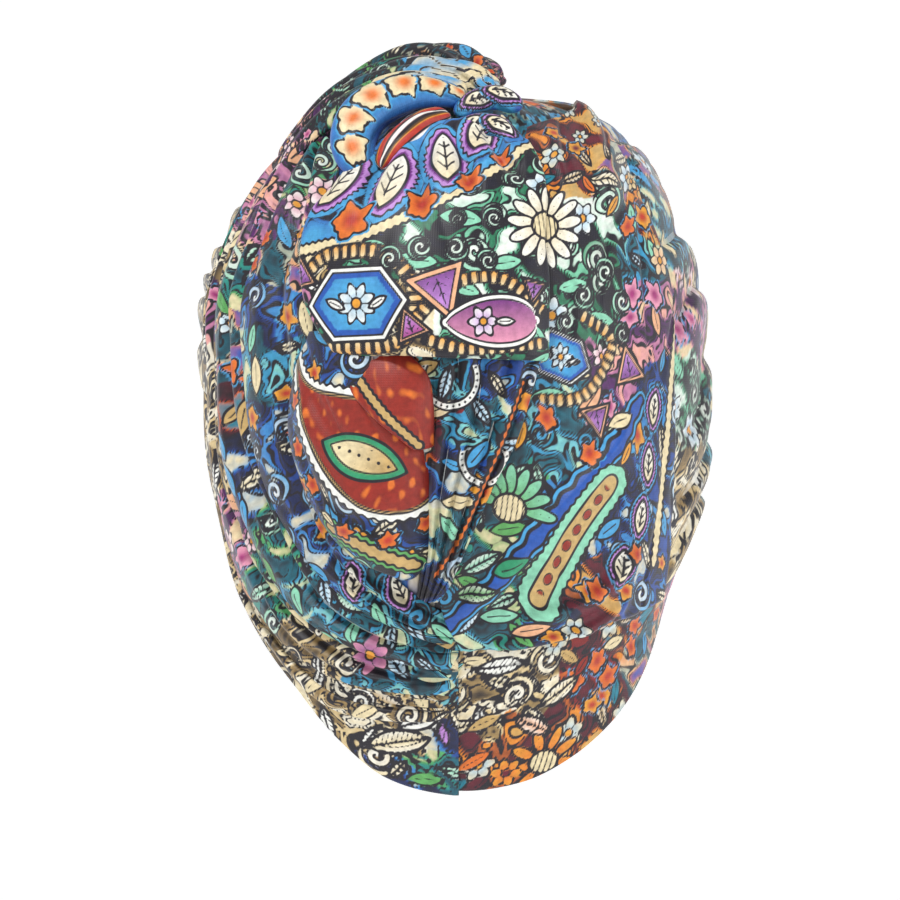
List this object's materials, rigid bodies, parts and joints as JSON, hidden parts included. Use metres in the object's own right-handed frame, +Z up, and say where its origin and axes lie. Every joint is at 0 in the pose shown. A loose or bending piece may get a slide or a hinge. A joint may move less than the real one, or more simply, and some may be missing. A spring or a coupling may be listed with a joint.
{
  "type": "turban headwrap",
  "caption": "Pre-tied turban headwrap in multicoloured printed satin jersey, twisted into a knot at the crown, with pleated panels, a hanging drape and a hem band at the nape.",
  "frame": {"origin": "where the top of the head meets the inside of the cap, on the head's axis", "axes": "+Z up, -Y towards the back of the head, +Y towards the face, +X to the right seen from behind"},
  "size_m": [0.186, 0.2263, 0.2682],
  "materials": {
    "cap_cloth": "matte satin jersey with an all-over multicoloured leaf and paisley print",
    "panel_cloth": "matte satin jersey with an all-over multicoloured leaf and paisley print",
    "band_cloth": "matte satin jersey with an all-over multicoloured leaf and paisley print",
    "fold_cloth": "matte satin jersey with an all-over multicoloured leaf and paisley print",
    "knot_cloth": "matte satin jersey with an all-over multicoloured leaf and paisley print"
  },
  "bodies": {
    "root": {"crown_cap": "cap_cloth", "crown_panel": "panel_cloth", "side_panel_right": "panel_cloth", "side_panel_left": "panel_cloth", "nape_band_left": "band_cloth", "nape_band_right": "band_cloth", "left_fold_1": "fold_cloth", "left_fold_2": "fold_cloth", "left_fold_3": "fold_cloth", "left_fold_4": "fold_cloth", "centre_drape": "fold_cloth", "drape_fold": "fold_cloth", "centre_gather": "fold_cloth", "top_flap": "knot_cloth", "front_roll_1": "knot_cloth", "front_roll_2": "knot_cloth", "front_roll_3": "knot_cloth", "knot_loop": "knot_cloth", "knot_core": "knot_cloth", "knot_pleat_upper": "knot_cloth", "knot_pleat_lower": "knot_cloth"}
  },
  "joints": []
}
